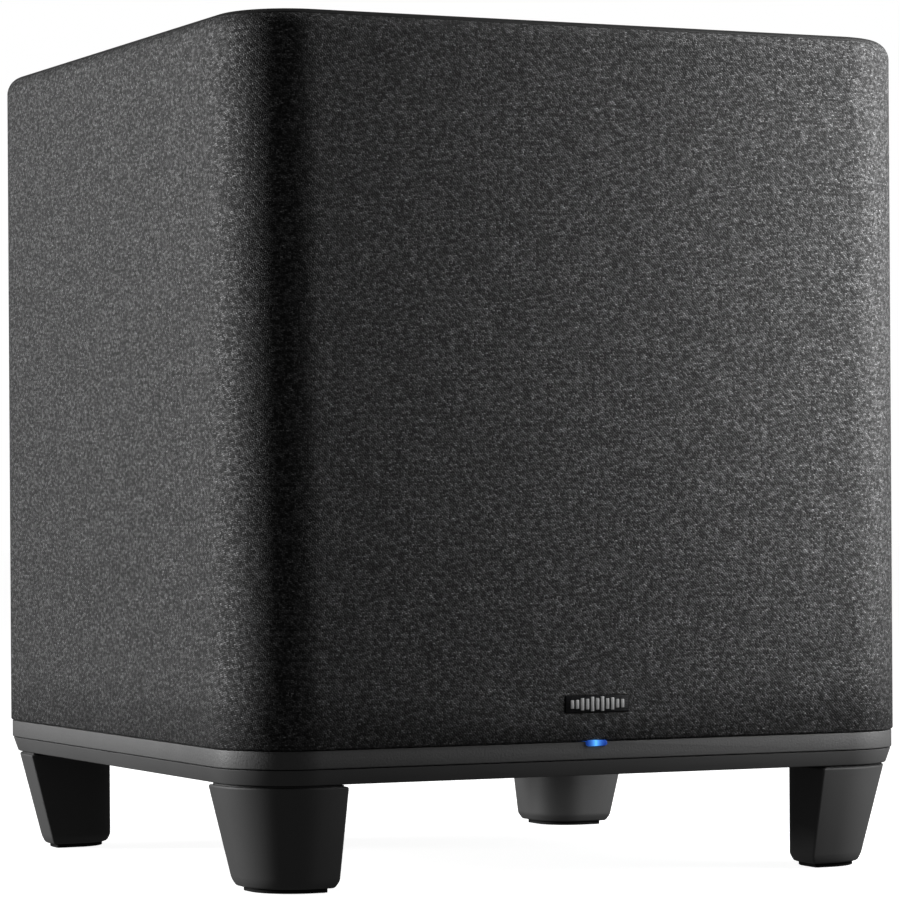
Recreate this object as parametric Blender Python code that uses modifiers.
"""Compact cube subwoofer: a fabric-wrapped cabinet on four tall corner feet, its woofer firing down.

Metres, +Z up. The origin is on the floor under the middle of the cabinet, and the front looks along -Y.
Upright stations are heights above the floor. Plan outlines are given as an inset from the fabric's outline.
"""

import math

import bmesh
import bpy
from mathutils import Matrix

MM = 0.001
GAP = 0.3 * MM  # between neighbouring pieces
PAST = 2 * MM  # how far a cutter runs past the face it opens
BURIED = 1 * MM  # how far a joined shape runs into its neighbour
QUARTER = math.pi / 2
SMOOTH_UNDER = math.radians(35)  # edges sharper than this stay crisp

# Outside sizes
WIDTH = 311 * MM  # across the fabric, side to side and front to back
HALF = WIDTH / 2
HEIGHT = 352 * MM
CORNER = 34 * MM  # plan radius of the upright corners
CORNER_STEPS = 7
EDGE_ROLL = 8 * MM  # radius of the rolled top edge
ROLL_CENTRE = HEIGHT - EDGE_ROLL

# Heights, floor upwards
FOOT_BOTTOM = 1.8 * MM
FOOT_CHAMFER_TOP = 4.8 * MM
FOOT_SHOULDER = 43.1 * MM
FOOT_TOP = 43.7 * MM
BASE_BOTTOM = 44.0 * MM
BASE_FLOOR = 47.0 * MM
BASE_RIM = 50.3 * MM
BAND_BOTTOM = 50.6 * MM
BAND_TOP = 57.9 * MM
FABRIC_BOTTOM = 58.2 * MM
BAFFLE_BOTTOM = 58.3 * MM
BAFFLE_TOP = 73.3 * MM
SHELL_TOP = 332.0 * MM
TOP_BOARD_TOP = 347.4 * MM
CAP_BOTTOM = 347.7 * MM
CAP_LIP = 349.9 * MM
CAP_LIP_EDGE = 0.2 * MM

# Cabinet, as insets from the fabric's outline
FABRIC = 1.2 * MM
SHELL_INSET = FABRIC + GAP
WALL = 15 * MM
BAFFLE_INSET = SHELL_INSET + WALL + GAP
FABRIC_WRAP = math.radians(46)  # how far the fabric follows the rolled edge
CAP_START = math.radians(49)
CAP_WALL_INSET = 3.7 * MM
CAP_POCKET_INSET = 7 * MM
CAP_SKIN = 2.4 * MM
ROLL_STEPS = 3

# Base plate and trim ring, as insets
BASE_TOP_INSET = 1.0 * MM
BASE_BOTTOM_INSET = 3.2 * MM
BASE_EDGE = 0.4 * MM
BASE_WALL_INSET = 6.5 * MM
BAND_INSET = 0.6 * MM
BAND_EDGE = 0.4 * MM
BAND_WIDTH = 11 * MM
WELL_RADIUS = 104 * MM  # round recess that the woofer sits in
WELL_WALL = 3 * MM
PILLAR_RADIUS = 7 * MM

# Feet
FOOT_SIZE = 43.6 * MM
FOOT_INSET = 3.2 * MM
FOOT_TAPER = 9.8 * MM
FOOT_CHAMFER = 1.6 * MM
FOOT_ROUND = 1.0 * MM
FOOT_NECK = 1.5 * MM
FOOT_WALL = 3 * MM
FOOT_SOLE = 8 * MM  # height at which the hollow starts
FOOT_OUTER_RADIUS = 33 * MM
FOOT_INNER_RADIUS = 19.6 * MM
FOOT_SIDE_RADIUS = 1.0 * MM
FOOT_STEPS = (6, 1, 4, 1)
PAD_INSET = 2.2 * MM
PAD_TOP = 2.7 * MM
PAD_RECESS_TOP = 3.0 * MM
CORNER_SIGNS = {"front_left": (-1, -1), "front_right": (1, -1), "rear_left": (-1, 1), "rear_right": (1, 1)}
SCREW_PLACE = 125 * MM  # of the foot screws, from each middle plane
FOOT_PLACES = [(sx * SCREW_PLACE, sy * SCREW_PLACE) for sx, sy in CORNER_SIGNS.values()]
BOSS_RADIUS = 7.5 * MM
COUNTERBORE_RADIUS = 5 * MM
COUNTERBORE_TOP = 26 * MM

# Screws: head radius, head height, shank radius, shank length
FOOT_SCREW = (4 * MM, 3.2 * MM, 2 * MM, 41 * MM)
WOOFER_SCREW = (4 * MM, 2.6 * MM, 2 * MM, 16 * MM)
SMALL_SCREW = (2.6 * MM, 1.2 * MM, 1.3 * MM, 12 * MM)

# Sides of round shapes
AROUND = 36  # large turned pieces
AROUND_SMALL = 24  # voice coil, spider, button, phono socket
POST_SIDES = 14
PIN_SIDES = 12
HOLE_SIDES = 10  # screws and their holes

# Woofer
CUTOUT_RADIUS = 93 * MM
FLANGE_RADIUS = 103 * MM
FLANGE = 2.5 * MM
FLANGE_INNER_RADIUS = 85.5 * MM
GASKET = 0.8 * MM
GASKET_INSET = 1 * MM
FLANGE_BOTTOM = BAFFLE_BOTTOM - GAP - GASKET - GAP - FLANGE
BASKET_RADIUS = 91 * MM
SHEET = 2.2 * MM  # the basket's wall
SHEET_SLANT = 1.2 * MM  # the same wall, measured across where it slopes
SHELF_RADIUS = 66 * MM
SHELF_WIDTH = 9 * MM
SHELF_HEIGHT = 94 * MM
WALL_TURN = 66.3 * MM  # height at which the basket's wall starts to slope in
MOTOR_BOTTOM = 104 * MM
MOTOR_RING = (30 * MM, 49 * MM)  # the ring of the basket under the top plate
LIP_TOP = FLANGE_BOTTOM - GAP
LIP = 0.9 * MM
ROLL_RADIUS = 7.5 * MM  # half-round roll of the surround
ROLL_PLACE = 77.5 * MM
LIP_WIDTH = 4 * MM
SURROUND_STEPS = 5
CONE_RADIUS = 71 * MM
CONE_RIM = 67.5 * MM
CONE = 1.0 * MM
CONE_SLANT = 1.2  # upright thickness of the sloping wall over its true thickness
CONE_NECK = 19.6 * MM
CONE_TOP = 84 * MM
CONE_STEPS = 3
CONE_CURVE = 1.2  # above 1, the cone flares towards its rim
DUST_RADIUS = 33 * MM
DUST_RISE = 8 * MM
DUST_CAP = 0.8 * MM
DUST_STEPS = 3
FORMER_INNER = 18.6 * MM
FORMER_OUTER = 19.2 * MM
FORMER_BOTTOM = 80 * MM
FORMER_TOP = 118.6 * MM
COIL_INNER = 19.5 * MM
COIL_OUTER = 20.9 * MM
COIL_BOTTOM = 96 * MM
COIL_TOP = 118 * MM
SPIDER_HEIGHT = 90.4 * MM
SPIDER_CLOTH = 0.7 * MM
SPIDER_OUTER = 63 * MM
SPIDER_WAVES = 3
SPIDER_WAVE = 1.5 * MM
SPIDER_LAND = 4 * MM  # flat cloth inside the waves, and twice as much outside them
GAP_RADIUS = 21.9 * MM  # bore of the top plate
PLATE_RADIUS = 50 * MM
TOP_PLATE_TOP = 110 * MM
MAGNET_INNER = 28 * MM
MAGNET_RADIUS = 56 * MM
MAGNET_TOP = 128.3 * MM
POLE_RADIUS = 17.6 * MM
VENT_RADIUS = 6 * MM
YOKE_TOP = 135.6 * MM
WINDOWS = 6
WINDOW_WIDTH = 50 * MM
WINDOW_MARGIN = 5 * MM  # how far a window runs in past the shelf's edge
WINDOW_HEIGHTS = (69.3 * MM, 90 * MM)
TERMINAL_SIZE = (18 * MM, 3 * MM, 14 * MM)
TERMINAL_PLACE = (88 * MM, 74.3 * MM)  # its inner face and its foot
BLADE = (4 * MM, 0.8 * MM)
BLADE_PLACE = (5 * MM, 8 * MM)  # of each blade, from the middle and from the block's foot
BLADE_REACH = 8 * MM
EDGE_RADIUS = 1 * MM  # of small moulded bodies
WOOFER_SCREW_CIRCLE = 97 * MM
WOOFER_SCREWS = 6

# Rear panel: a dished moulding with the sockets in its floor
PANEL_HEIGHT = 116 * MM
PANEL_SIZE = (168 * MM, 72 * MM)
PANEL_RADIUS = 10 * MM
DISH_SIZE = (150 * MM, 54 * MM)
DISH_RADIUS = 6 * MM
DISH_WALL = 2.5 * MM
PANEL_FACE = HALF + 0.8 * MM
PANEL_FLANGE = 2.4 * MM
PANEL_SEAL = 1.0 * MM
DISH_FLOOR = 143.3 * MM
PANEL_CLEARANCE = 0.5 * MM
PANEL_SEAT = PANEL_FACE - PANEL_FLANGE - PANEL_SEAL - 2 * GAP
ROUND_STEPS = 5  # segments of the panel's round corners
QUARTERS = [(sx, sz) for sx in (-1, 1) for sz in (-1, 1)]
PANEL_SCREWS = [(sx * 79 * MM, PANEL_HEIGHT + sz * 31 * MM) for sx, sz in QUARTERS]
BOARD_POSTS = [(sx * 70 * MM, PANEL_HEIGHT + sz * 22 * MM) for sx, sz in QUARTERS]
BOARD_POST_RADIUS = 3.5 * MM
BUTTON_PLACE = 54 * MM
BUTTON_RADIUS = 4 * MM
BUTTON_FACE = 146.3 * MM
BUTTON_TRAVEL = 1.0 * MM
BUTTON_EDGE = 0.5 * MM
BUTTON_DIP = 0.4 * MM  # the middle of its face lies this far in
COLLAR_RADIUS = 5.5 * MM
COLLAR = 1.0 * MM
STEM_RADIUS = 1.5 * MM
SWITCH_SIDE = 7 * MM
SWITCH_CASE = 4 * MM
SWITCH_RISE = 5.4 * MM  # of its plunger, off the board
PLUNGER_RADIUS = 1.7 * MM

# Sockets in the dish floor: x, size of the body, and how far it stands proud of the floor
SOCKETS = {
    "ac_inlet": (-50 * MM, (24 * MM, 14 * MM), 1.2 * MM),
    "line_in_jack": (-20 * MM, (13 * MM, 13 * MM), 0.8 * MM),
    "ethernet_socket": (6 * MM, (16 * MM, 13.6 * MM), 0.8 * MM),
    "usb_socket": (31 * MM, (14.6 * MM, 7.4 * MM), 0.8 * MM),
}
INLET_WELL = (15 * MM, 7.6 * MM)
INLET_WELL_RADIUS = 3.7 * MM
INLET_DEPTH = 14 * MM
INLET_PINS = 4.3 * MM  # of each pin, from the middle
INLET_PIN_RADIUS = 1.2 * MM
INLET_PIN_TIP = 2 * MM  # below the face
PHONO_RADIUS = 4.15 * MM
PHONO_REACH = 8.5 * MM
PHONO_BORE = 1.7 * MM
PHONO_DEPTH = 6 * MM
SOCKET_DEPTH = 12 * MM
NETWORK_MOUTH = (11.8 * MM, 7.8 * MM)
NETWORK_MOUTH_DROP = 0.8 * MM
LATCH_SLOT = (6 * MM, 3 * MM)
LATCH_RISE = 3.8 * MM
USB_MOUTH = (12.6 * MM, 5.2 * MM)
USB_TONGUE = (11.2 * MM, 1.8 * MM)
USB_TONGUE_RISE = 1.2 * MM

# Electronics on the amplifier board, whose component side looks forward: places and sizes are (x, z)
BOARD_BACK = 117.6 * MM
BOARD = 1.6 * MM
BOARD_HEIGHT = 132 * MM
BOARD_SIZE = (172 * MM, 96 * MM)
BOARD_EDGE = 0.3 * MM
BOARD_FACE = BOARD_BACK - BOARD - GAP
FIN = 1.6 * MM
FIN_PITCH = 10 * MM
FIN_COUNT = 9
FIN_DEPTH = 26 * MM
SINK_PLATE = 4 * MM
SINK_LEFT = -72 * MM
SINK_PLACE = 162 * MM
SINK_HEIGHT = 26 * MM
COIL_PLACE = (58 * MM, 140 * MM)
CORE_SIZE = (34 * MM, 30 * MM)
CORE_REACH = (2 * MM, 24 * MM)
BOBBIN_SIZE = (24 * MM, 38 * MM)
BOBBIN_REACH = 20 * MM
BOBBIN_RADIUS = 2 * MM
CAPACITOR_PLACES = (-60 * MM, -34 * MM)
CAPACITOR_HEIGHT = 116 * MM
CAPACITOR_RADIUS = 11 * MM
CAPACITOR_LENGTH = 32 * MM
CAPACITOR_SIDES = 20
RADIO_CARD = (64 * MM, (42 * MM, 26 * MM), 1.4 * MM)  # x, size, thickness
RADIO_CAN = (60 * MM, (30 * MM, 24 * MM), 3.6 * MM)
RADIO_HEIGHT = 162 * MM
CAN_OVERLAP = 0.4 * MM

# Speaker cable and wadding
CABLE_RADIUS = 1.6 * MM
CABLE_START = (101 * MM, 82 * MM)  # (y, z) behind the terminal's blades
CABLE_RUN = (18 * MM, 13 * MM, 18 * MM)  # how far it goes along X, Y and Z
CABLE_SWING = 6 * MM
CABLE_STEPS = 12
WADDING_HALF = 137 * MM
WADDING_RADIUS = 36 * MM
WADDING_BACK = 60 * MM
WADDING_HEIGHTS = (90 * MM, 322 * MM)
WADDING = 16 * MM
WADDING_STEPS = 5

# Front trim
BADGE_SIZE = (29 * MM, 7.2 * MM)
BADGE_HEIGHT = 73.3 * MM
BADGE_EDGE = 0.4 * MM
LIGHT_SIZE = (9.4 * MM, 2.4 * MM)
LIGHT_HEIGHT = 57.3 * MM
LIGHT_RADIUS = 1.1 * MM
LIGHT_FACE = -HALF - 0.2 * MM
LIGHT_STEM = 3.6 * MM  # half its width
LIGHT_BOARD = 12 * MM  # half its width

# name: (base colour, roughness, metallic)
FINISHES = {
    "mdf": ((0.42, 0.30, 0.19), 0.85, 0.0),
    "fabric": ((0.035, 0.036, 0.038), 0.95, 0.0),
    "black_plastic": ((0.012, 0.012, 0.013), 0.45, 0.0),
    "foot_plastic": ((0.010, 0.010, 0.011), 0.35, 0.0),
    "rubber": ((0.008, 0.008, 0.008), 0.8, 0.0),
    "foam": ((0.02, 0.02, 0.02), 0.95, 0.0),
    "painted_steel": ((0.018, 0.018, 0.02), 0.5, 0.6),
    "plain_steel": ((0.55, 0.56, 0.58), 0.35, 1.0),
    "ferrite": ((0.05, 0.05, 0.055), 0.6, 0.2),
    "cone_paper": ((0.015, 0.015, 0.017), 0.7, 0.0),
    "spider_cloth": ((0.45, 0.30, 0.08), 0.9, 0.0),
    "copper": ((0.72, 0.34, 0.16), 0.35, 1.0),
    "aluminium": ((0.72, 0.73, 0.75), 0.4, 1.0),
    "circuit_board": ((0.02, 0.10, 0.05), 0.5, 0.0),
    "capacitor_sleeve": ((0.01, 0.012, 0.03), 0.4, 0.0),
    "shield_can": ((0.6, 0.61, 0.62), 0.3, 1.0),
    "light_pipe": ((0.10, 0.35, 0.90), 0.2, 0.0),
    "badge_metal": ((0.80, 0.80, 0.81), 0.3, 1.0),
    "wadding": ((0.75, 0.75, 0.73), 1.0, 0.0),
}


# ---------------------------------------------------------------- scene and materials


def clear_scene():
    for old in list(bpy.data.objects):
        bpy.data.objects.remove(old)


def new_collection(name):
    collection = bpy.data.collections.new(name)
    bpy.context.scene.collection.children.link(collection)
    return collection


def make_material(name):
    colour, roughness, metallic = FINISHES[name]
    material = bpy.data.materials.new(name)
    material.use_nodes = True
    shader = material.node_tree.nodes["Principled BSDF"]
    shader.inputs["Base Color"].default_value = (*colour, 1.0)
    shader.inputs["Roughness"].default_value = roughness
    shader.inputs["Metallic"].default_value = metallic
    return material


def add_object(name, mesh, finish, parent=None):
    """A piece in the subwoofer's collection, in its own finish."""
    obj = bpy.data.objects.new(name, mesh)
    PIECES.objects.link(obj)
    obj.data.materials.clear()
    obj.data.materials.append(MATERIALS[finish])
    obj.parent = parent
    return obj


def add_cutter(mesh):
    """A helper that shapes a piece, and isn't part of the object."""
    obj = bpy.data.objects.new("shaper", mesh)
    CUTTERS.objects.link(obj)
    obj.hide_render = True
    obj.display_type = "WIRE"
    return obj


def shape_with(piece, operation, *meshes):
    for mesh in meshes:
        boolean = piece.modifiers.new(operation.lower(), "BOOLEAN")
        boolean.operation = operation
        boolean.solver = "EXACT"
        boolean.object = add_cutter(mesh)


def cut(piece, *meshes):
    shape_with(piece, "DIFFERENCE", *meshes)


def join(piece, *meshes):
    shape_with(piece, "UNION", *meshes)


def finish_mesh(bm, smooth=False):
    mesh = bpy.data.meshes.new("shape")
    bm.to_mesh(mesh)
    bm.free()
    if smooth:
        mesh.shade_smooth()
        mesh.set_sharp_from_angle(angle=SMOOTH_UNDER)
    return mesh


# ---------------------------------------------------------------- shapes


def outline(x0, x1, y0, y1, radii, steps):
    """Anticlockwise points of a rectangle with round corners: +X+Y, -X+Y, -X-Y, then +X-Y."""
    centres = (
        (x1 - radii[0], y1 - radii[0]),
        (x0 + radii[1], y1 - radii[1]),
        (x0 + radii[2], y0 + radii[2]),
        (x1 - radii[3], y0 + radii[3]),
    )
    points = []
    for corner, (cx, cy) in enumerate(centres):
        for step in range(steps[corner] + 1):
            angle = QUARTER * (corner + step / steps[corner])
            points.append((cx + radii[corner] * math.cos(angle), cy + radii[corner] * math.sin(angle)))
    return points


def plan(inset, radius=None):
    """The cabinet's plan outline, drawn in by an inset."""
    half = HALF - inset
    radius = CORNER - inset if radius is None else radius
    return outline(-half, half, -half, half, (radius,) * 4, (CORNER_STEPS,) * 4)


def loft(sections, signs=(1, 1), capped=True, smooth=False):
    """A skin through flat outlines stacked along Z, as (height, outline) pairs."""
    bm = bmesh.new()
    rings = [[bm.verts.new((x * signs[0], y * signs[1], z)) for x, y in ring] for z, ring in sections]
    for low, high in zip(rings, rings[1:]):
        for i, vert in enumerate(low):
            after = (i + 1) % len(low)
            bm.faces.new((vert, low[after], high[after], high[i]))
    if capped:
        bm.faces.new(rings[0])
        bm.faces.new(rings[-1])
    bmesh.ops.recalc_face_normals(bm, faces=bm.faces)
    return finish_mesh(bm, smooth)


def box(low, high, radius=0.0, axis=2, steps=3):
    """A box between two corners, its four edges along one axis rounded."""
    bm = bmesh.new()
    bmesh.ops.create_cube(bm, size=1)
    bmesh.ops.scale(bm, vec=[b - a for a, b in zip(low, high)], verts=bm.verts)
    bmesh.ops.translate(bm, vec=[(a + b) / 2 for a, b in zip(low, high)], verts=bm.verts)
    if radius:
        along = [e for e in bm.edges if abs((e.verts[0].co - e.verts[1].co).normalized()[axis]) > 0.99]
        bmesh.ops.bevel(
            bm, geom=along, offset=radius, segments=steps, profile=0.5, affect="EDGES", clamp_overlap=False
        )
    return finish_mesh(bm)


def slab(centre, size, y0, y1, radius=0.0, steps=3):
    """A box that faces along Y: centre and size are (x, z)."""
    low = (centre[0] - size[0] / 2, y0, centre[1] - size[1] / 2)
    high = (centre[0] + size[0] / 2, y1, centre[1] + size[1] / 2)
    return box(low, high, radius, axis=1, steps=steps)


def pins(places, radius, start, end, axis=2, sides=PIN_SIDES):
    """Round bars along one axis, one at each place on the other two axes."""
    bm = bmesh.new()
    turn = Matrix.Rotation(QUARTER, 4, "X") if axis == 1 else Matrix.Identity(4)
    middle = (start + end) / 2
    for a, b in places:
        at = (a, middle, b) if axis == 1 else (a, b, middle)
        bmesh.ops.create_cone(
            bm,
            cap_ends=True,
            segments=sides,
            radius1=radius,
            radius2=radius,
            depth=end - start,
            matrix=Matrix.Translation(at) @ turn,
        )
    return finish_mesh(bm)


def turned(name, profile, finish, sides=AROUND, closed=True, parent=None):
    """A solid of revolution about Z: the profile of (radius, height) points runs down its outer side."""
    mesh = bpy.data.meshes.new(name)
    last = len(profile) - 1
    edges = [(i, i + 1) for i in range(last)] + ([(last, 0)] if closed else [])
    mesh.from_pydata([(r, 0, z) for r, z in profile], edges, [])
    obj = add_object(name, mesh, finish, parent)
    screw = obj.modifiers.new("turn", "SCREW")
    screw.axis = "Z"
    screw.steps = sides
    screw.render_steps = sides
    screw.use_merge_vertices = True
    screw.merge_threshold = 0.00001
    screw.use_smooth_shade = True
    return obj


def ring(inner, outer, low, high):
    """The square profile of a flat ring or a tube."""
    return [(inner, high), (outer, high), (outer, low), (inner, low)]


def arc(centre, radius, start, end, steps):
    """Points along an arc of a profile, angles from +radius towards +height."""
    angles = [start + (end - start) * i / steps for i in range(steps + 1)]
    return [(centre[0] + radius * math.cos(a), centre[1] + radius * math.sin(a)) for a in angles]


def stretched_wire(name, points, radius, finish):
    """A round lead along points."""
    curve = bpy.data.curves.new(name, "CURVE")
    curve.dimensions = "3D"
    curve.bevel_depth = radius
    curve.bevel_resolution = 2
    curve.use_fill_caps = True
    spline = curve.splines.new("POLY")
    spline.points.add(len(points) - 1)
    for point, place in zip(spline.points, points):
        point.co = (*place, 1.0)
    return add_object(name, curve, finish)


def grown(size, margin):
    return [side + 2 * margin for side in size]


# ---------------------------------------------------------------- cabinet


def roll_sections(radius, inset, start, end, steps):
    """Sections that follow the rolled top edge, whose arc is centred on the same line for every layer."""
    points = arc((0, ROLL_CENTRE), radius, start, end, steps)
    return [(z, plan(inset + radius - r)) for r, z in points]


def make_cabinet_shell():
    block = loft([(BAFFLE_BOTTOM, plan(SHELL_INSET)), (SHELL_TOP, plan(SHELL_INSET))])
    shell = add_object("cabinet_shell", block, "mdf")
    inside = plan(SHELL_INSET + WALL)
    rebate = grown(PANEL_SIZE, PANEL_CLEARANCE)
    hole = grown(DISH_SIZE, DISH_WALL + 2 * PANEL_CLEARANCE)
    inner_face = HALF - SHELL_INSET - WALL
    pilot = (SMALL_SCREW[2] + GAP, PANEL_SEAT - SMALL_SCREW[3], HALF)
    cut(
        shell,
        loft([(BAFFLE_BOTTOM - PAST, inside), (SHELL_TOP + PAST, inside)]),
        slab((0, PANEL_HEIGHT), rebate, PANEL_SEAT, HALF, PANEL_RADIUS),
        slab((0, PANEL_HEIGHT), hole, inner_face - PAST, HALF, DISH_RADIUS + DISH_WALL),
        pins(PANEL_SCREWS, *pilot, axis=1, sides=HOLE_SIDES),
    )


def make_top_board():
    edge = EDGE_ROLL - SHELL_INSET
    top = math.asin((TOP_BOARD_TOP - ROLL_CENTRE) / edge)
    sections = [(SHELL_TOP + GAP, plan(SHELL_INSET))]
    sections += roll_sections(edge, SHELL_INSET, 0, top, ROLL_STEPS)
    add_object("top_board", loft(sections), "mdf")


def make_fabric_sleeve():
    sections = [(FABRIC_BOTTOM, plan(0))]
    sections += roll_sections(EDGE_ROLL, 0, 0, FABRIC_WRAP, ROLL_STEPS)
    sleeve = add_object("fabric_sleeve", loft(sections, capped=False, smooth=True), "fabric")
    solidify = sleeve.modifiers.new("cloth thickness", "SOLIDIFY")
    solidify.thickness = FABRIC
    solidify.offset = -1
    solidify.use_even_offset = True
    front = (-HALF - PAST, -HALF + 2 * FABRIC)
    cut(
        sleeve,
        slab((0, PANEL_HEIGHT), grown(PANEL_SIZE, GAP), HALF - 2 * FABRIC, HALF + PAST, PANEL_RADIUS),
        slab((0, BADGE_HEIGHT), grown(BADGE_SIZE, GAP), *front),
        slab((0, LIGHT_HEIGHT), grown(LIGHT_SIZE, GAP), *front),
    )


def make_top_cap():
    sections = [(CAP_BOTTOM, plan(CAP_WALL_INSET)), (CAP_LIP - CAP_LIP_EDGE, plan(CAP_WALL_INSET))]
    lip = EDGE_ROLL * (1 - math.cos(CAP_START))
    sections += [(CAP_LIP, plan(lip))]
    sections += roll_sections(EDGE_ROLL, 0, CAP_START, QUARTER, ROLL_STEPS + 1)
    cap = add_object("top_cap", loft(sections, smooth=True), "black_plastic")
    pocket = plan(CAP_POCKET_INSET)
    cut(cap, loft([(CAP_BOTTOM - PAST, pocket), (HEIGHT - CAP_SKIN, pocket)]))


def make_baffle_board():
    outer = plan(BAFFLE_INSET)
    baffle = add_object("baffle_board", loft([(BAFFLE_BOTTOM, outer), (BAFFLE_TOP, outer)]), "mdf")
    through = (BAFFLE_BOTTOM - PAST, BAFFLE_TOP + PAST)
    cut(
        baffle,
        pins([(0, 0)], CUTOUT_RADIUS, *through, sides=AROUND),
        pins(woofer_screw_places(), WOOFER_SCREW[2] + GAP, *through, sides=HOLE_SIDES),
        pins(FOOT_PLACES, FOOT_SCREW[2] + GAP, *through, sides=HOLE_SIDES),
    )


# ---------------------------------------------------------------- base


def make_base_plate():
    sections = [
        (BASE_BOTTOM, plan(BASE_BOTTOM_INSET + BASE_EDGE)),
        (BASE_BOTTOM + BASE_EDGE, plan(BASE_BOTTOM_INSET)),
        (BASE_RIM, plan(BASE_TOP_INSET)),
    ]
    base = add_object("base_plate", loft(sections, smooth=True), "black_plastic")
    tray = plan(BASE_WALL_INSET)
    top = BAFFLE_BOTTOM - GAP
    cut(base, loft([(BASE_FLOOR, tray), (BASE_RIM + PAST, tray)]))
    join(
        base,
        pins([(0, 0)], WELL_RADIUS + WELL_WALL, BASE_BOTTOM + BURIED, top, sides=AROUND),
        pins(FOOT_PLACES, PILLAR_RADIUS, BASE_BOTTOM + BURIED, top, sides=POST_SIDES),
    )
    through = (BASE_BOTTOM - PAST, top + PAST)
    cut(
        base,
        pins([(0, 0)], WELL_RADIUS, *through, sides=AROUND),
        pins(FOOT_PLACES, FOOT_SCREW[2] + GAP, *through, sides=HOLE_SIDES),
    )


def make_trim_ring():
    sections = [
        (BAND_BOTTOM, plan(BAND_INSET + BAND_EDGE)),
        (BAND_BOTTOM + BAND_EDGE, plan(BAND_INSET)),
        (BAND_TOP - BAND_EDGE, plan(BAND_INSET)),
        (BAND_TOP, plan(BAND_INSET + BAND_EDGE)),
    ]
    band = add_object("trim_ring", loft(sections, smooth=True), "black_plastic")
    inside = plan(BAND_INSET + BAND_WIDTH)
    cut(
        band,
        loft([(BAND_BOTTOM - PAST, inside), (BAND_TOP + PAST, inside)]),
        slab((0, LIGHT_HEIGHT), grown(LIGHT_SIZE, GAP), -HALF - PAST, -HALF + 2 * BAND_WIDTH),
    )


def foot_section(height, shrink=0.0):
    """The foot's plan at a height in the +X+Y quadrant: its outer faces lean in towards the floor."""
    climb = FOOT_SHOULDER - FOOT_CHAMFER_TOP
    lean = FOOT_TAPER * max(FOOT_SHOULDER - max(height, FOOT_CHAMFER_TOP), 0) / climb
    outer = HALF - FOOT_INSET - lean - shrink
    inner = HALF - FOOT_INSET - FOOT_SIZE + shrink
    radii = (
        FOOT_OUTER_RADIUS - lean - shrink,
        FOOT_SIDE_RADIUS,
        FOOT_INNER_RADIUS - shrink,
        FOOT_SIDE_RADIUS,
    )
    return outline(inner, outer, inner, outer, radii, FOOT_STEPS)


def foot_meshes(signs):
    """The outside of a foot, and the hollow that its walls leave."""
    skin = loft(
        [
            (FOOT_BOTTOM, foot_section(FOOT_BOTTOM, FOOT_CHAMFER)),
            (FOOT_CHAMFER_TOP, foot_section(FOOT_CHAMFER_TOP)),
            (FOOT_SHOULDER - FOOT_ROUND, foot_section(FOOT_SHOULDER - FOOT_ROUND)),
            (FOOT_SHOULDER - FOOT_ROUND / 3, foot_section(FOOT_SHOULDER, FOOT_ROUND / 3)),
            (FOOT_SHOULDER, foot_section(FOOT_SHOULDER, FOOT_ROUND)),
            (FOOT_SHOULDER, foot_section(FOOT_SHOULDER, FOOT_NECK)),
            (FOOT_TOP, foot_section(FOOT_TOP, FOOT_NECK)),
        ],
        signs,
        smooth=True,
    )
    hollow = loft(
        [
            (FOOT_SOLE, foot_section(FOOT_SOLE, FOOT_WALL)),
            (FOOT_TOP + PAST, foot_section(FOOT_TOP, FOOT_WALL)),
        ],
        signs,
    )
    return skin, hollow


def make_foot(corner, signs):
    place = (signs[0] * SCREW_PLACE, signs[1] * SCREW_PLACE)
    skin, hollow = foot_meshes(signs)
    foot = add_object(f"foot_{corner}", skin, "foot_plastic")
    cut(foot, hollow)
    join(foot, pins([place], BOSS_RADIUS, FOOT_SOLE - BURIED, FOOT_TOP, sides=POST_SIDES))
    recess = foot_section(FOOT_BOTTOM, FOOT_CHAMFER + PAD_INSET - GAP)
    cut(
        foot,
        loft([(FOOT_BOTTOM - PAST, recess), (PAD_RECESS_TOP, recess)], signs),
        pins([place], COUNTERBORE_RADIUS, FOOT_BOTTOM, COUNTERBORE_TOP, sides=PIN_SIDES),
        pins([place], FOOT_SCREW[2] + GAP, COUNTERBORE_TOP - BURIED, FOOT_TOP + PAST, sides=HOLE_SIDES),
    )
    pad = foot_section(FOOT_BOTTOM, FOOT_CHAMFER + PAD_INSET)
    add_object(f"foot_pad_{corner}", loft([(0, pad), (PAD_TOP, pad)], signs), "rubber")
    screw = make_screw(f"foot_screw_{corner}", FOOT_SCREW)
    screw.location = (*place, COUNTERBORE_TOP - GAP)


def make_screw(name, size, finish="plain_steel"):
    """A pan-head screw that points along +Z from the bearing face of its head."""
    head, head_height, shank, length = size
    profile = [
        (0, length),
        (shank, length - shank),
        (shank, 0),
        (head, 0),
        (head, -head_height / 2),
        (head - head_height / 2, -head_height),
        (0, -head_height),
    ]
    return turned(name, profile, finish, sides=HOLE_SIDES, closed=False)


# ---------------------------------------------------------------- woofer


def woofer_screw_places():
    """Screws stand over the spokes, between the basket's windows."""
    angles = [math.tau * (i + 0.5) / WOOFER_SCREWS for i in range(WOOFER_SCREWS)]
    return [(WOOFER_SCREW_CIRCLE * math.cos(a), WOOFER_SCREW_CIRCLE * math.sin(a)) for a in angles]


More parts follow.
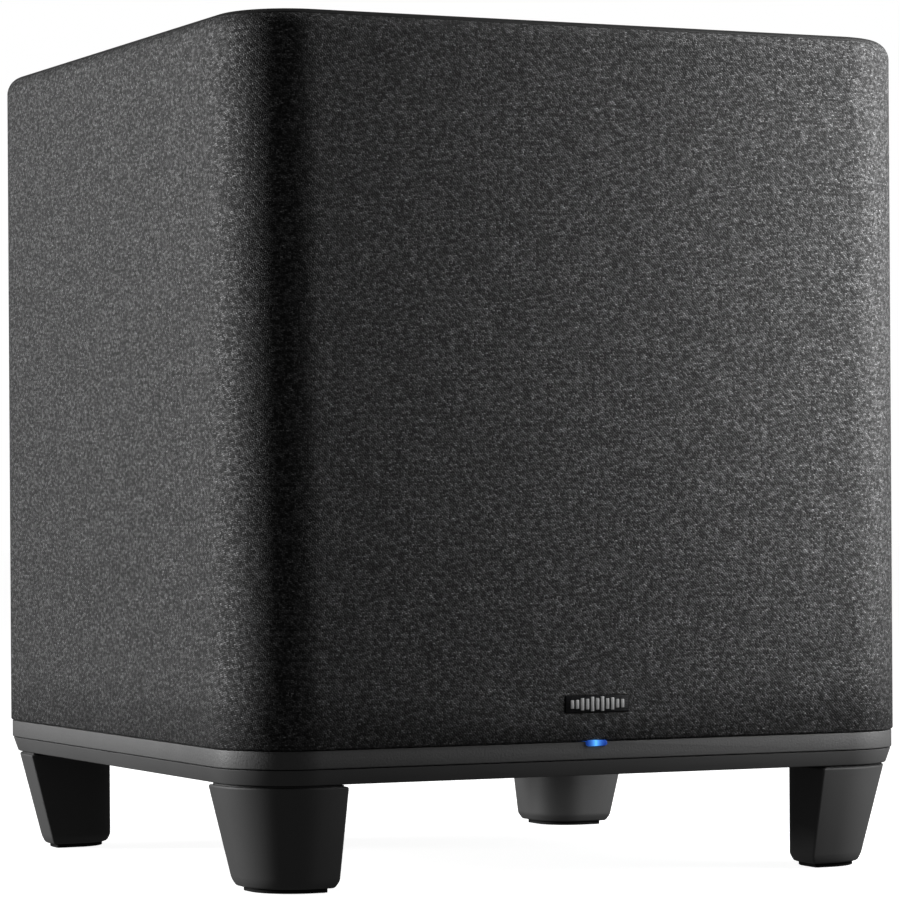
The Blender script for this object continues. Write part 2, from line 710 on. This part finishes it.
def make_basket():
    """Pressed frame, open side down: flange, wall, spider shelf and the ring that carries the motor."""
    flange_top = FLANGE_BOTTOM + FLANGE
    ring_inner, ring_outer = MOTOR_RING
    ring_top = MOTOR_BOTTOM - GAP
    shelf_inner = SHELF_RADIUS - SHELF_WIDTH
    outer_side = [
        (ring_inner, ring_top),
        (ring_outer, ring_top),
        (shelf_inner, SHELF_HEIGHT),
        (SHELF_RADIUS, SHELF_HEIGHT),
        (BASKET_RADIUS, WALL_TURN),
        (BASKET_RADIUS, flange_top),
        (FLANGE_RADIUS, flange_top),
        (FLANGE_RADIUS, FLANGE_BOTTOM),
    ]
    inner_side = [
        (FLANGE_INNER_RADIUS, FLANGE_BOTTOM),
        (FLANGE_INNER_RADIUS, flange_top),
        (BASKET_RADIUS - SHEET, flange_top + SHEET),
        (BASKET_RADIUS - SHEET, WALL_TURN - BURIED),
        (SHELF_RADIUS - SHEET_SLANT, SHELF_HEIGHT - SHEET),
        (shelf_inner - SHEET_SLANT, SHELF_HEIGHT - SHEET),
        (ring_outer - SHEET_SLANT, ring_top - SHEET),
        (ring_inner, ring_top - SHEET),
    ]
    basket = turned("woofer_basket", outer_side + inner_side, "painted_steel")
    low, high = WINDOW_HEIGHTS
    for i in range(WINDOWS):
        near = (SHELF_RADIUS - WINDOW_MARGIN, -WINDOW_WIDTH / 2, low)
        window = box(near, (FLANGE_RADIUS, WINDOW_WIDTH / 2, high))
        window.transform(Matrix.Rotation(math.tau * i / WINDOWS, 4, "Z"))
        cut(basket, window)
    hole = WOOFER_SCREW[2] + GAP
    through = (FLANGE_BOTTOM - PAST, flange_top + PAST)
    cut(basket, pins(woofer_screw_places(), hole, *through, sides=HOLE_SIDES))


def make_woofer_gasket():
    low = FLANGE_BOTTOM + FLANGE + GAP
    profile = ring(CUTOUT_RADIUS + GASKET_INSET, FLANGE_RADIUS, low, low + GASKET)
    gasket = turned("woofer_gasket", profile, "foam")
    hole = WOOFER_SCREW[2] + GAP
    cut(gasket, pins(woofer_screw_places(), hole, low - PAST, low + PAST, sides=HOLE_SIDES))


def make_woofer_screws():
    for number, place in enumerate(woofer_screw_places(), 1):
        screw = make_screw(f"woofer_screw_{number}", WOOFER_SCREW)
        screw.location = (*place, FLANGE_BOTTOM - GAP)


def make_motor():
    turned("woofer_top_plate", ring(GAP_RADIUS, PLATE_RADIUS, MOTOR_BOTTOM, TOP_PLATE_TOP), "plain_steel")
    turned("woofer_magnet", ring(MAGNET_INNER, MAGNET_RADIUS, TOP_PLATE_TOP + GAP, MAGNET_TOP), "ferrite")
    back = MAGNET_TOP + GAP
    yoke = [
        (VENT_RADIUS, YOKE_TOP),
        (PLATE_RADIUS, YOKE_TOP),
        (PLATE_RADIUS, back),
        (POLE_RADIUS, back),
        (POLE_RADIUS, MOTOR_BOTTOM),
        (VENT_RADIUS, MOTOR_BOTTOM),
    ]
    turned("woofer_yoke", yoke, "plain_steel")


def make_surround():
    """Half-round roll that bulges down, with a flat lip on each side."""
    inner, outer = ROLL_PLACE - ROLL_RADIUS, ROLL_PLACE + ROLL_RADIUS
    middle = (ROLL_PLACE, LIP_TOP)
    upper = arc(middle, ROLL_RADIUS - LIP, -math.pi, 0, SURROUND_STEPS)
    under = arc((ROLL_PLACE, LIP_TOP - LIP), ROLL_RADIUS, 0, -math.pi, SURROUND_STEPS)
    profile = [(inner - LIP_WIDTH, LIP_TOP), *upper, (outer + LIP_WIDTH, LIP_TOP)]
    profile += [(outer + LIP_WIDTH, LIP_TOP - LIP), *under, (inner - LIP_WIDTH, LIP_TOP - LIP)]
    turned("woofer_surround", profile, "rubber")


def cone_height(radius):
    """Height of the cone's lower face at a radius, from its rim up to its neck."""
    rim = LIP_TOP + GAP
    inwards = (CONE_RIM - radius) / (CONE_RIM - CONE_NECK)
    return rim + (CONE_TOP - rim) * inwards**CONE_CURVE


def make_cone(parent):
    rim = LIP_TOP + GAP
    radii = [CONE_NECK + (CONE_RIM - CONE_NECK) * i / CONE_STEPS for i in range(CONE_STEPS + 1)]
    thick = CONE * CONE_SLANT
    upper = [(r, cone_height(r) + thick) for r in radii] + [(CONE_RADIUS, rim + CONE)]
    lower = [(CONE_RADIUS, rim)] + [(r, cone_height(r)) for r in reversed(radii)]
    turned("woofer_cone", upper + lower, "cone_paper", parent=parent)


def make_dust_cap(parent):
    """Shallow dome over the voice coil, bulging down."""
    edge = cone_height(DUST_RADIUS) - GAP
    steps = [DUST_RADIUS * i / DUST_STEPS for i in range(DUST_STEPS + 1)]
    dome = [(r, edge - DUST_RISE * (1 - (r / DUST_RADIUS) ** 2)) for r in steps]
    upper = [(r, z) for r, z in dome[:-1]] + [(DUST_RADIUS, edge)]
    lower = [(r, z - DUST_CAP) for r, z in reversed(dome)]
    turned("woofer_dust_cap", upper + lower, "cone_paper", closed=False, parent=parent)


def make_voice_coil(parent):
    former = ring(FORMER_INNER, FORMER_OUTER, FORMER_BOTTOM, FORMER_TOP)
    turned("voice_coil_former", former, "aluminium", AROUND_SMALL, parent=parent)
    winding = ring(COIL_INNER, COIL_OUTER, COIL_BOTTOM, COIL_TOP)
    turned("voice_coil_winding", winding, "copper", AROUND_SMALL, parent=parent)


def make_spider():
    """Corrugated cloth disc that centres the voice coil, glued under the basket's shelf."""
    start, end = CONE_NECK + SPIDER_LAND, SPIDER_OUTER - 2 * SPIDER_LAND
    count = SPIDER_WAVES * 4
    step = (end - start) / count
    waves = [(start + step * i, SPIDER_WAVE * math.sin(QUARTER * i)) for i in range(count + 1)]
    line = [(CONE_NECK, 0.0), *waves, (SPIDER_OUTER, 0.0)]
    upper = [(r, SPIDER_HEIGHT + SPIDER_CLOTH + rise) for r, rise in line]
    lower = [(r, SPIDER_HEIGHT + rise) for r, rise in reversed(line)]
    turned("woofer_spider", upper + lower, "spider_cloth", AROUND_SMALL)


def make_terminal():
    """Terminal block on the rear spoke, with two blades."""
    width, depth, height = TERMINAL_SIZE
    front, low = TERMINAL_PLACE
    block = box((-width / 2, front, low), (width / 2, front + depth, low + height), EDGE_RADIUS, 1, 2)
    terminal = add_object("woofer_terminal", block, "black_plastic")
    for side in (-1, 1):
        centre = (side * BLADE_PLACE[0], low + BLADE_PLACE[1])
        join(terminal, slab(centre, BLADE, front + depth - BURIED, front + depth - BURIED + BLADE_REACH))


def make_woofer():
    make_basket()
    make_woofer_gasket()
    make_woofer_screws()
    make_motor()
    make_surround()
    make_spider()
    make_terminal()
    travel = bpy.data.objects.new("cone_travel", None)
    PIECES.objects.link(travel)
    make_cone(travel)
    make_dust_cap(travel)
    make_voice_coil(travel)


# ---------------------------------------------------------------- rear panel


def make_socket_body(name, finish):
    x, size, proud = SOCKETS[name]
    face = DISH_FLOOR + proud
    body = slab((x, PANEL_HEIGHT), size, BOARD_BACK + GAP, face, EDGE_RADIUS, 2)
    return add_object(name, body, finish), x, face


def make_ac_inlet():
    """Two-pole mains inlet: a figure-of-eight well with a pin in each half."""
    inlet, x, face = make_socket_body("ac_inlet", "black_plastic")
    floor = face - INLET_DEPTH
    cut(inlet, slab((x, PANEL_HEIGHT), INLET_WELL, floor, face + PAST, INLET_WELL_RADIUS, ROUND_STEPS))
    poles = [(x + side * INLET_PINS, PANEL_HEIGHT) for side in (-1, 1)]
    ends = (floor - 2 * BURIED, face - INLET_PIN_TIP)
    join(inlet, pins(poles, INLET_PIN_RADIUS, *ends, axis=1, sides=PIN_SIDES))


def make_line_in_jack():
    jack, x, face = make_socket_body("line_in_jack", "black_plastic")
    place = [(x, PANEL_HEIGHT)]
    end = face + PHONO_REACH
    join(jack, pins(place, PHONO_RADIUS, face - 2 * BURIED, end, axis=1, sides=AROUND_SMALL))
    cut(jack, pins(place, PHONO_BORE, face - PHONO_DEPTH, end + PAST, axis=1, sides=PIN_SIDES))


def make_ethernet_socket():
    socket, x, face = make_socket_body("ethernet_socket", "shield_can")
    deep = (face - SOCKET_DEPTH, face + PAST)
    mouth = slab((x, PANEL_HEIGHT - NETWORK_MOUTH_DROP), NETWORK_MOUTH, *deep)
    latch = slab((x, PANEL_HEIGHT + LATCH_RISE), LATCH_SLOT, *deep)
    cut(socket, mouth, latch)


def make_usb_socket():
    socket, x, face = make_socket_body("usb_socket", "shield_can")
    floor = face - SOCKET_DEPTH
    cut(socket, slab((x, PANEL_HEIGHT), USB_MOUTH, floor, face + PAST))
    join(socket, slab((x, PANEL_HEIGHT + USB_TONGUE_RISE), USB_TONGUE, floor - BURIED, face - BURIED))


def make_io_panel():
    """Dished moulding screwed into the back, with four posts that carry the amplifier board."""
    centre = (0, PANEL_HEIGHT)
    flange_back = PANEL_FACE - PANEL_FLANGE
    dish_back = DISH_FLOOR - DISH_WALL
    outside = slab(centre, PANEL_SIZE, flange_back, PANEL_FACE, PANEL_RADIUS, ROUND_STEPS)
    panel = add_object("io_panel", outside, "black_plastic")
    tub_radius = DISH_RADIUS + DISH_WALL
    tub = slab(centre, grown(DISH_SIZE, DISH_WALL), dish_back, flange_back + BURIED, tub_radius, ROUND_STEPS)
    join(panel, tub)
    cut(panel, slab(centre, DISH_SIZE, DISH_FLOOR, PANEL_FACE + PAST, DISH_RADIUS, ROUND_STEPS))
    posts = (BOARD_BACK + GAP, dish_back + BURIED)
    join(panel, pins(BOARD_POSTS, BOARD_POST_RADIUS, *posts, axis=1, sides=PIN_SIDES))
    for x, size, _ in SOCKETS.values():
        cut(panel, slab((x, PANEL_HEIGHT), grown(size, GAP), dish_back - PAST, DISH_FLOOR + PAST))
    button = [(BUTTON_PLACE, PANEL_HEIGHT)]
    head, head_height, shank, _ = SMALL_SCREW
    seat = PANEL_FACE - head_height - GAP
    cut(
        panel,
        pins(button, BUTTON_RADIUS + GAP, dish_back - PAST, DISH_FLOOR + PAST, axis=1, sides=AROUND_SMALL),
        pins(PANEL_SCREWS, shank + GAP, flange_back - PAST, PANEL_FACE + PAST, axis=1, sides=HOLE_SIDES),
        pins(PANEL_SCREWS, head + GAP, seat, PANEL_FACE + PAST, axis=1, sides=PIN_SIDES),
    )


def make_panel_gasket():
    centre = (0, PANEL_HEIGHT)
    low = PANEL_SEAT + GAP
    outside = slab(centre, PANEL_SIZE, low, low + PANEL_SEAL, PANEL_RADIUS, ROUND_STEPS)
    seal = add_object("panel_gasket", outside, "foam")
    inside = grown(DISH_SIZE, DISH_WALL + GAP)
    through = (low - PAST, low + PAST)
    cut(
        seal,
        slab(centre, inside, *through, DISH_RADIUS + DISH_WALL + GAP, ROUND_STEPS),
        pins(PANEL_SCREWS, SMALL_SCREW[2] + GAP, *through, axis=1, sides=HOLE_SIDES),
    )


def make_panel_screws():
    for number, (x, z) in enumerate(PANEL_SCREWS, 1):
        screw = make_screw(f"panel_screw_{number}", SMALL_SCREW, "painted_steel")
        screw.rotation_euler.x = QUARTER
        screw.location = (x, PANEL_FACE - SMALL_SCREW[1], z)


def make_connect_button():
    """Push button with a retaining collar behind the panel and a long stem to its switch."""
    collar_back = DISH_FLOOR - DISH_WALL - GAP - COLLAR
    stem_end = BOARD_BACK + GAP + SWITCH_RISE + BUTTON_TRAVEL + GAP
    profile = [
        (0, stem_end),
        (STEM_RADIUS, stem_end),
        (STEM_RADIUS, collar_back),
        (COLLAR_RADIUS, collar_back),
        (COLLAR_RADIUS, collar_back + COLLAR),
        (BUTTON_RADIUS, collar_back + COLLAR),
        (BUTTON_RADIUS, BUTTON_FACE - BUTTON_EDGE),
        (BUTTON_RADIUS - BUTTON_EDGE, BUTTON_FACE),
        (0, BUTTON_FACE - BUTTON_DIP),
    ]
    outwards = [(r, y - BUTTON_FACE) for r, y in reversed(profile)]
    button = turned("connect_button", outwards, "black_plastic", sides=AROUND_SMALL, closed=False)
    button.rotation_euler.x = -QUARTER
    button.location = (BUTTON_PLACE, BUTTON_FACE, PANEL_HEIGHT)


def make_button_switch():
    centre = (BUTTON_PLACE, PANEL_HEIGHT)
    foot = BOARD_BACK + GAP
    case = slab(centre, (SWITCH_SIDE, SWITCH_SIDE), foot, foot + SWITCH_CASE)
    switch = add_object("button_switch", case, "black_plastic")
    plunger = (foot + 2 * BURIED, foot + SWITCH_RISE)
    join(switch, pins([centre], PLUNGER_RADIUS, *plunger, axis=1, sides=PIN_SIDES))


# ---------------------------------------------------------------- electronics


def make_amplifier_board():
    sheet = slab((0, BOARD_HEIGHT), BOARD_SIZE, BOARD_BACK - BOARD, BOARD_BACK)
    board = add_object("amplifier_board", sheet, "circuit_board")
    bevel = board.modifiers.new("corners", "BEVEL")
    bevel.width = BOARD_EDGE
    bevel.segments = 1


def make_heatsink():
    """Comb of cooling fins that stands off the board."""
    tip, plate = BOARD_FACE - FIN_DEPTH, BOARD_FACE - SINK_PLATE
    points = [(SINK_LEFT, BOARD_FACE), (SINK_LEFT, tip)]
    for i in range(FIN_COUNT):
        x = SINK_LEFT + i * FIN_PITCH
        points.append((x + FIN, tip))
        if i < FIN_COUNT - 1:
            points += [(x + FIN, plate), (x + FIN_PITCH, plate), (x + FIN_PITCH, tip)]
    points.append((SINK_LEFT + (FIN_COUNT - 1) * FIN_PITCH + FIN, BOARD_FACE))
    curve = bpy.data.curves.new("heatsink", "CURVE")
    curve.dimensions = "2D"
    curve.fill_mode = "BOTH"
    curve.extrude = SINK_HEIGHT / 2
    spline = curve.splines.new("POLY")
    spline.points.add(len(points) - 1)
    spline.use_cyclic_u = True
    for point, (x, y) in zip(spline.points, points):
        point.co = (x, y, 0, 1)
    sink = add_object("heatsink", curve, "aluminium")
    sink.location.z = SINK_PLACE


def make_transformer():
    """Ferrite core with its winding bobbin showing through."""
    near, far = CORE_REACH
    core = slab(COIL_PLACE, CORE_SIZE, BOARD_FACE - far, BOARD_FACE - near)
    transformer = add_object("transformer", core, "ferrite")
    join(transformer, slab(COIL_PLACE, BOBBIN_SIZE, BOARD_FACE - BOBBIN_REACH, BOARD_FACE, BOBBIN_RADIUS))


def make_capacitors():
    top, side, edge = CAPACITOR_LENGTH, CAPACITOR_RADIUS, CAPACITOR_RADIUS - EDGE_RADIUS
    profile = [(0, top), (edge, top), (side, top - EDGE_RADIUS), (side, EDGE_RADIUS), (edge, 0), (0, 0)]
    for number, x in enumerate(CAPACITOR_PLACES, 1):
        name = f"reservoir_capacitor_{number}"
        capacitor = turned(name, profile, "capacitor_sleeve", sides=CAPACITOR_SIDES, closed=False)
        capacitor.rotation_euler.x = QUARTER
        capacitor.location = (x, BOARD_FACE, CAPACITOR_HEIGHT)


def make_wireless_module():
    """Small card on the board's rear face, with a shield can over most of it."""
    foot = BOARD_BACK + GAP
    can_x, can_size, can_top = RADIO_CAN
    card_x, card_size, card = RADIO_CARD
    can = slab((can_x, RADIO_HEIGHT), can_size, foot + card - CAN_OVERLAP, foot + can_top, EDGE_RADIUS, 2)
    module = add_object("wireless_module", can, "shield_can")
    join(module, slab((card_x, RADIO_HEIGHT), card_size, foot, foot + card))


def make_speaker_cable():
    """Twin lead from the woofer's terminal up to the foot of the amplifier board."""
    y, z = CABLE_START
    along, back, up = CABLE_RUN
    points = []
    for i in range(CABLE_STEPS + 1):
        t = i / CABLE_STEPS
        points.append((along * t, y + back * t - CABLE_SWING * math.sin(math.pi * t), z + up * t * t))
    stretched_wire("speaker_cable", points, CABLE_RADIUS, "rubber")


def make_wadding():
    """Blanket of fibre against the front and side walls inside the cabinet."""
    half = WADDING_HALF
    ring_points = outline(-half, half, -half, half, (WADDING_RADIUS,) * 4, (WADDING_STEPS,) * 4)
    front_half = [p for p in ring_points if p[1] < 0]
    path = [(-half, WADDING_BACK), *front_half, (half, WADDING_BACK)]
    bm = bmesh.new()
    low, high = ([bm.verts.new((x, y, z)) for x, y in path] for z in WADDING_HEIGHTS)
    for i in range(len(path) - 1):
        bm.faces.new((low[i], low[i + 1], high[i + 1], high[i]))
    blanket = add_object("acoustic_wadding", finish_mesh(bm), "wadding")
    solidify = blanket.modifiers.new("loft", "SOLIDIFY")
    solidify.thickness = WADDING
    solidify.offset = -1
    solidify.use_even_offset = True


# ---------------------------------------------------------------- front trim


def make_badge():
    """Blank badge plate, standing in the sleeve's window on the cabinet's front wall."""
    back = -HALF + SHELL_INSET - GAP
    plate = slab((0, BADGE_HEIGHT), BADGE_SIZE, -PANEL_FACE, back)
    badge = add_object("badge_plate", plate, "badge_metal")
    bevel = badge.modifiers.new("soft edges", "BEVEL")
    bevel.width = BADGE_EDGE
    bevel.segments = 2


def make_status_light():
    """Light pipe through the trim ring, with its lamp board behind."""
    inner = -HALF + BAND_INSET + BAND_WIDTH + BURIED
    back = -HALF + SHELL_INSET - 2 * GAP
    head = slab((0, LIGHT_HEIGHT), LIGHT_SIZE, LIGHT_FACE, back, LIGHT_RADIUS, 4)
    pipe = add_object("status_light_pipe", head, "light_pipe")
    stem_top = BAFFLE_BOTTOM - GAP
    stem_low = LIGHT_HEIGHT - LIGHT_SIZE[1] / 2 + GAP
    join(pipe, box((-LIGHT_STEM, LIGHT_FACE + 2 * GAP, stem_low), (LIGHT_STEM, inner, stem_top)))
    lamp = box((-LIGHT_BOARD, inner + GAP, BASE_FLOOR + GAP), (LIGHT_BOARD, inner + BOARD, stem_top))
    add_object("status_light_board", lamp, "circuit_board")


def main():
    make_cabinet_shell()
    make_top_board()
    make_fabric_sleeve()
    make_top_cap()
    make_baffle_board()
    make_base_plate()
    make_trim_ring()
    for corner, signs in CORNER_SIGNS.items():
        make_foot(corner, signs)
    make_woofer()
    make_io_panel()
    make_panel_gasket()
    make_panel_screws()
    make_ac_inlet()
    make_line_in_jack()
    make_ethernet_socket()
    make_usb_socket()
    make_connect_button()
    make_button_switch()
    make_amplifier_board()
    make_heatsink()
    make_transformer()
    make_capacitors()
    make_wireless_module()
    make_speaker_cable()
    make_wadding()
    make_badge()
    make_status_light()


clear_scene()
PIECES = new_collection("subwoofer")
CUTTERS = new_collection("cutters")
MATERIALS = {name: make_material(name) for name in FINISHES}
main()
